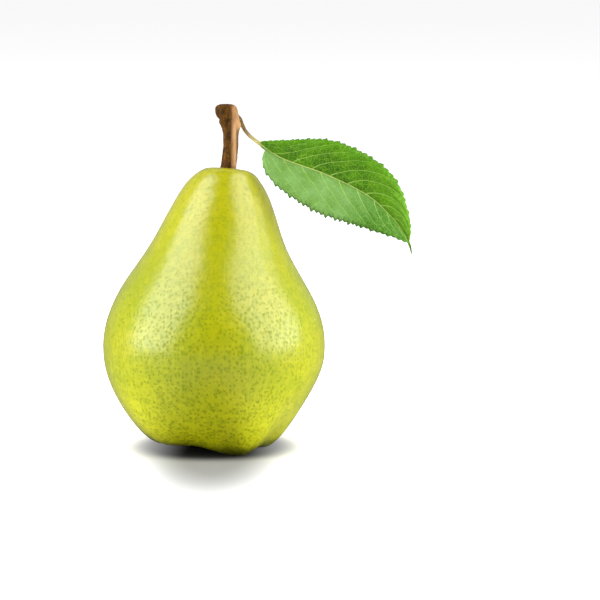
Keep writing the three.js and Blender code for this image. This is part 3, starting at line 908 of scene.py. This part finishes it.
def sepal_point(number, s, v, face):
    """A point of a sepal: s along it, v across it from -1 to 1, on its upper or lower face."""
    angle = SEPAL_TURN + 2 * math.pi * number / SEPALS
    out = Vector((math.cos(angle), math.sin(angle), 0))
    side = Vector((-math.sin(angle), math.cos(angle), 0))
    drop = SEPAL_DROP * math.sin(0.5 * math.pi * min(1, 1.5 * s)) - SEPAL_TIP_RISE * s**3
    cupped = SEPAL_CUPPED * v * v * (1 - 0.5 * s)
    crinkle = LARGE_CRINKLE * math.sin(9 * s + 5 * v + number)
    crinkle += SMALL_CRINKLE * math.sin(17 * s * v + 2 * number)
    thick = SEPAL_HALF_THICKNESS * (1 - 0.6 * v * v)
    height = SEPAL_ROOT_HEIGHT - drop - cupped + crinkle * s + face * thick
    # No two sepals are quite as long, or bent the same way.
    length_share = 0.92 + 0.07 * math.sin(number * 2.1)
    away = SEPAL_ROOT + SEPAL_LENGTH * length_share * s**1.15
    bent = SEPAL_BENT * math.sin(number * 1.7 + 1) * s * s
    width = (SEPAL_HALF_WIDTH * (1 - s**1.7) + 0.05 * MM) * (1 + 0.08 * math.sin(23 * s))
    return Vector((AXIS.x, AXIS.y, height)) + out * away + side * (v * width + bent)


def calyx_body():
    outline = [(radius * MM, height * MM) for radius, height in CUP_OUTLINE]
    cup = turned("cup", spline_profile(outline, CUP_STEPS), CUP_SEGMENTS)
    points = [vertex.co + Vector((AXIS.x, AXIS.y, 0)) for vertex in cup.data.vertices]
    faces = [tuple(polygon.vertices) for polygon in cup.data.polygons]
    bpy.data.objects.remove(cup)
    wide = SEPAL_COLUMNS + 1
    under = (SEPAL_ROWS + 1) * wide
    for number in range(SEPALS):
        start = len(points)
        for face in (1, -1):
            for row in range(SEPAL_ROWS + 1):
                for column in range(wide):
                    v = 2 * column / SEPAL_COLUMNS - 1
                    points.append(sepal_point(number, row / SEPAL_ROWS, v, face))
        for row in range(SEPAL_ROWS):
            for column in range(SEPAL_COLUMNS):
                a = start + row * wide + column
                faces.append((a, a + wide, a + wide + 1, a + 1))
                faces.append((under + a, under + a + 1, under + a + wide + 1, under + a + wide))
            for edge, flip in ((start + row * wide, 1), (start + row * wide + SEPAL_COLUMNS, -1)):
                faces.append((edge, under + edge, under + edge + wide, edge + wide)[::flip])
        for column in range(SEPAL_COLUMNS):
            for edge, flip in ((start + column, 1), (start + SEPAL_ROWS * wide + column, -1)):
                faces.append((edge, edge + 1, under + edge + 1, under + edge)[::flip])
    return mesh_piece("calyx_sepals", points, faces)


def withered_brown():
    brown, shader, wire = new_material("withered calyx")
    place = in_millimetres(wire)
    fibres = noise(place, 1.8, 5.0, 0.65)
    ground = fibres.step(0.3, 0.7).mix(colour(44, 28, 16), colour(112, 84, 50))
    ground = (noise(place, 0.5, 2.0).step(0.5, 0.7) * 0.5).mix(ground, colour(84, 82, 40))
    relief = bumped(fibres, 0.25 * MM, 0.9)
    feed(shader, Base_Color=ground, Roughness=fibres * 0.2 + 0.75, Normal=relief)
    return brown


def stamen_tuft(geometry, given):
    """A ring of thin threads that hang from the cup and lean at random."""
    whole = geometry.node("FunctionNodeFloatToInt", inputs={0: given["Count"]})
    ring = {"Vertices": whole, "Radius": given["Ring"]}
    ring = geometry.node("GeometryNodeMeshCircle", {"fill_type": "NONE"}, ring)
    thread = {
        "Vertices": STAMEN_SIDES,
        "Side Segments": STAMEN_SEGMENTS,
        "Radius Bottom": given["Thickness"],
        "Radius Top": given["Thickness"] * given["Tip"],
        "Depth": given["Length"],
    }
    thread = geometry.node("GeometryNodeMeshCone", {"fill_type": "TRIANGLE_FAN"}, thread)
    least = (math.pi - STAMEN_LEAN, -STAMEN_LEAN, 0)
    most = (math.pi + STAMEN_LEAN, STAMEN_LEAN, STAMEN_TURN)
    lean = {0: least, 1: most, "Seed": STAMEN_SEED}
    lean = geometry.node("FunctionNodeRandomValue", {"data_type": "FLOAT_VECTOR"}, lean)
    inputs = {"Points": ring, "Instance": thread, "Rotation": lean}
    tuft = geometry.node("GeometryNodeInstanceOnPoints", inputs=inputs)
    shift = {0: AXIS.x, 1: AXIS.y, 2: given["Height"]}
    shift = geometry.node("ShaderNodeCombineXYZ", inputs=shift)
    moved = geometry.node("GeometryNodeSetPosition", inputs={"Geometry": tuft, "Offset": shift})
    joined = geometry.node("GeometryNodeJoinGeometry")
    for part in (moved, geometry):
        geometry.tree.links.new(part.socket, joined.socket.node.inputs[0])
    return joined


calyx = calyx_body()
grown(calyx, stamen_tuft, STAMENS, withered_brown())
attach(calyx, "root")
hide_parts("calyx")

# ---------------------------------------------------------------- floor, light and camera
# A long sheet of white paper with a painted glow all round the pear, but not right under it; near
# the pear it is painted grey as a shadow, and near black right under it as deep shade. On either
# side stands a large soft box with a small fill below it, and a weak one hangs behind. A long lens
# looks down a little.

PAPER_HALF_WIDTH = 6.0
PAPER_BACK = 12.0
PAPER_FRONT = -3.0
# The painted glow fades in from the first distance from its middle to the second, in metres, and is
# stretched so that it starts close at the pear's sides, and further off in front and behind. Over
# the same span the paper's painted shadow fades out.
GLOW_MIDDLE = AXIS - Vector((0, 15, 0)) * MM
GLOW_FADE = (0.016, 0.075)
GLOW_STRETCH = (2.0, 0.53)
GLOW = 0.8
GLOW_BOUNCED = 0.8  # share of the glow that lights the pear
GLOW_MIRRORED = 0.15  # share of the glow that shows in the skin's gloss
PAPER_BOUNCED = 0.7  # the same two shares, for the light that the paper throws back
PAPER_MIRRORED = 0.07
DEEP_SHADE = (0.034, 0.02)  # distances from the pear's axis at which it begins and is complete

corners = [(-PAPER_HALF_WIDTH, PAPER_FRONT, 0), (PAPER_HALF_WIDTH, PAPER_FRONT, 0)]
corners += [(PAPER_HALF_WIDTH, PAPER_BACK, 0), (-PAPER_HALF_WIDTH, PAPER_BACK, 0)]
sheet = mesh_piece("paper_sheet", corners, [(0, 1, 2, 3)])
paper, shader, wire = new_material("white paper", Roughness=0.9, Emission_Strength=1.0)
place = wire.node("ShaderNodeTexCoord", out=3)
x, y, _ = place.split()
aside = (x - GLOW_MIDDLE.x) * GLOW_STRETCH[0]
ahead = (y - GLOW_MIDDLE.y) * GLOW_STRETCH[1]
clear = length(aside, ahead).step(*GLOW_FADE)
seen = wire.node("ShaderNodeLightPath", out=0)
bounced = wire.node("ShaderNodeLightPath", out=2)
mirrored = wire.node("ShaderNodeLightPath", out=3)
share = seen.sum("MAXIMUM", bounced * (GLOW_BOUNCED - GLOW_MIRRORED) + GLOW_MIRRORED)
glow = (clear * share).mix((0, 0, 0, 1), (GLOW, GLOW, GLOW, 1))
# Near the pear the paper is painted grey as a shadow, and right under it near black as painted deep
# shade.
white = clear.mix(colour(140, 140, 137), colour(244, 244, 244))
shade = length(x - AXIS.x, y - AXIS.y).step(*DEEP_SHADE)
white = shade.mix(white, colour(12, 12, 10))
dull = mirrored * (1 - PAPER_MIRRORED) + bounced * (1 - PAPER_BOUNCED)
white = dull.mix(white, (0, 0, 0, 1))
grain = bumped(noise(place, 900.0, 2.0), 0.02 * MM, 0.2)
feed(shader, Base_Color=white, Emission_Color=glow, Normal=grain)
sheet.data.materials.append(paper)

LOOK_AT = Vector((0, 0, 0.05))  # what the soft boxes are turned to
LIGHTS = {  # place and size in metres, and power in watts
    "left box": ((-0.84, -0.33, 0.6), (1.0, 1.3), 18.0),
    "right box": ((0.87, -0.2, 0.6), (1.15, 1.3), 16.5),
    "left fill": ((-1.0, -0.08, 0.1), (0.6, 0.3), 8.5),
    "right fill": ((1.0, -0.05, 0.15), (0.6, 0.3), 11.0),
    "top box": ((0.0, 0.4, 1.0), (0.9, 0.6), 1.0),
}
for name, (spot, size, power) in LIGHTS.items():
    lamp = bpy.data.lights.new(name, "AREA")
    lamp.shape = "RECTANGLE"
    lamp.size, lamp.size_y = size
    lamp.energy = power
    box = bpy.data.objects.new(name, lamp)
    box.visible_glossy = "fill" not in name  # a fill isn't mirrored in the skin
    box.location = spot
    box.rotation_euler = (LOOK_AT - Vector(spot)).to_track_quat("-Z", "Y").to_euler()
    bpy.context.scene.collection.objects.link(box)

# The studio is pale, and dim on the side that the camera stands on. The camera sees it white.
FRONT_LIGHT = 0.03
BACK_LIGHT = 0.35
FRONT_TO_BACK = (-0.2, 0.9)
world = bpy.data.worlds.new("studio")
world.use_nodes = True
room = Wire(world.node_tree)
_, towards_back, _ = room.node("ShaderNodeTexCoord", out=0).split()
strength = towards_back.step(*FRONT_TO_BACK) * (BACK_LIGHT - FRONT_LIGHT) + FRONT_LIGHT
strength = strength.sum("MAXIMUM", room.node("ShaderNodeLightPath", out=0))
background = world.node_tree.nodes["Background"]
background.inputs["Color"].default_value = (1, 1, 1, 1)
world.node_tree.links.new(strength.socket, background.inputs["Strength"])
bpy.context.scene.world = world
bpy.context.scene.view_settings.view_transform = "Standard"

CAMERA_DISTANCE = 1.2
CAMERA_ELEVATION = math.radians(7)
PICTURE_PIXELS = 600
PIXEL = 0.324 * MM  # in the plane through the pear's axis
CAMERA_AIM = Vector((AXIS.x + 27.9 * MM, 0, 48 * MM))
SENSOR = 36  # the camera's own units, in which the lens is given too
camera = bpy.data.cameras.new("camera")
camera.sensor_width = SENSOR
camera.lens = SENSOR * CAMERA_DISTANCE / (PICTURE_PIXELS * PIXEL)
viewer = bpy.data.objects.new("camera", camera)
back = Vector((0, -math.cos(CAMERA_ELEVATION), math.sin(CAMERA_ELEVATION)))
viewer.location = CAMERA_AIM + back * CAMERA_DISTANCE
viewer.rotation_euler = (math.pi / 2 - CAMERA_ELEVATION, 0, 0)
bpy.context.scene.collection.objects.link(viewer)
bpy.context.scene.camera = viewer
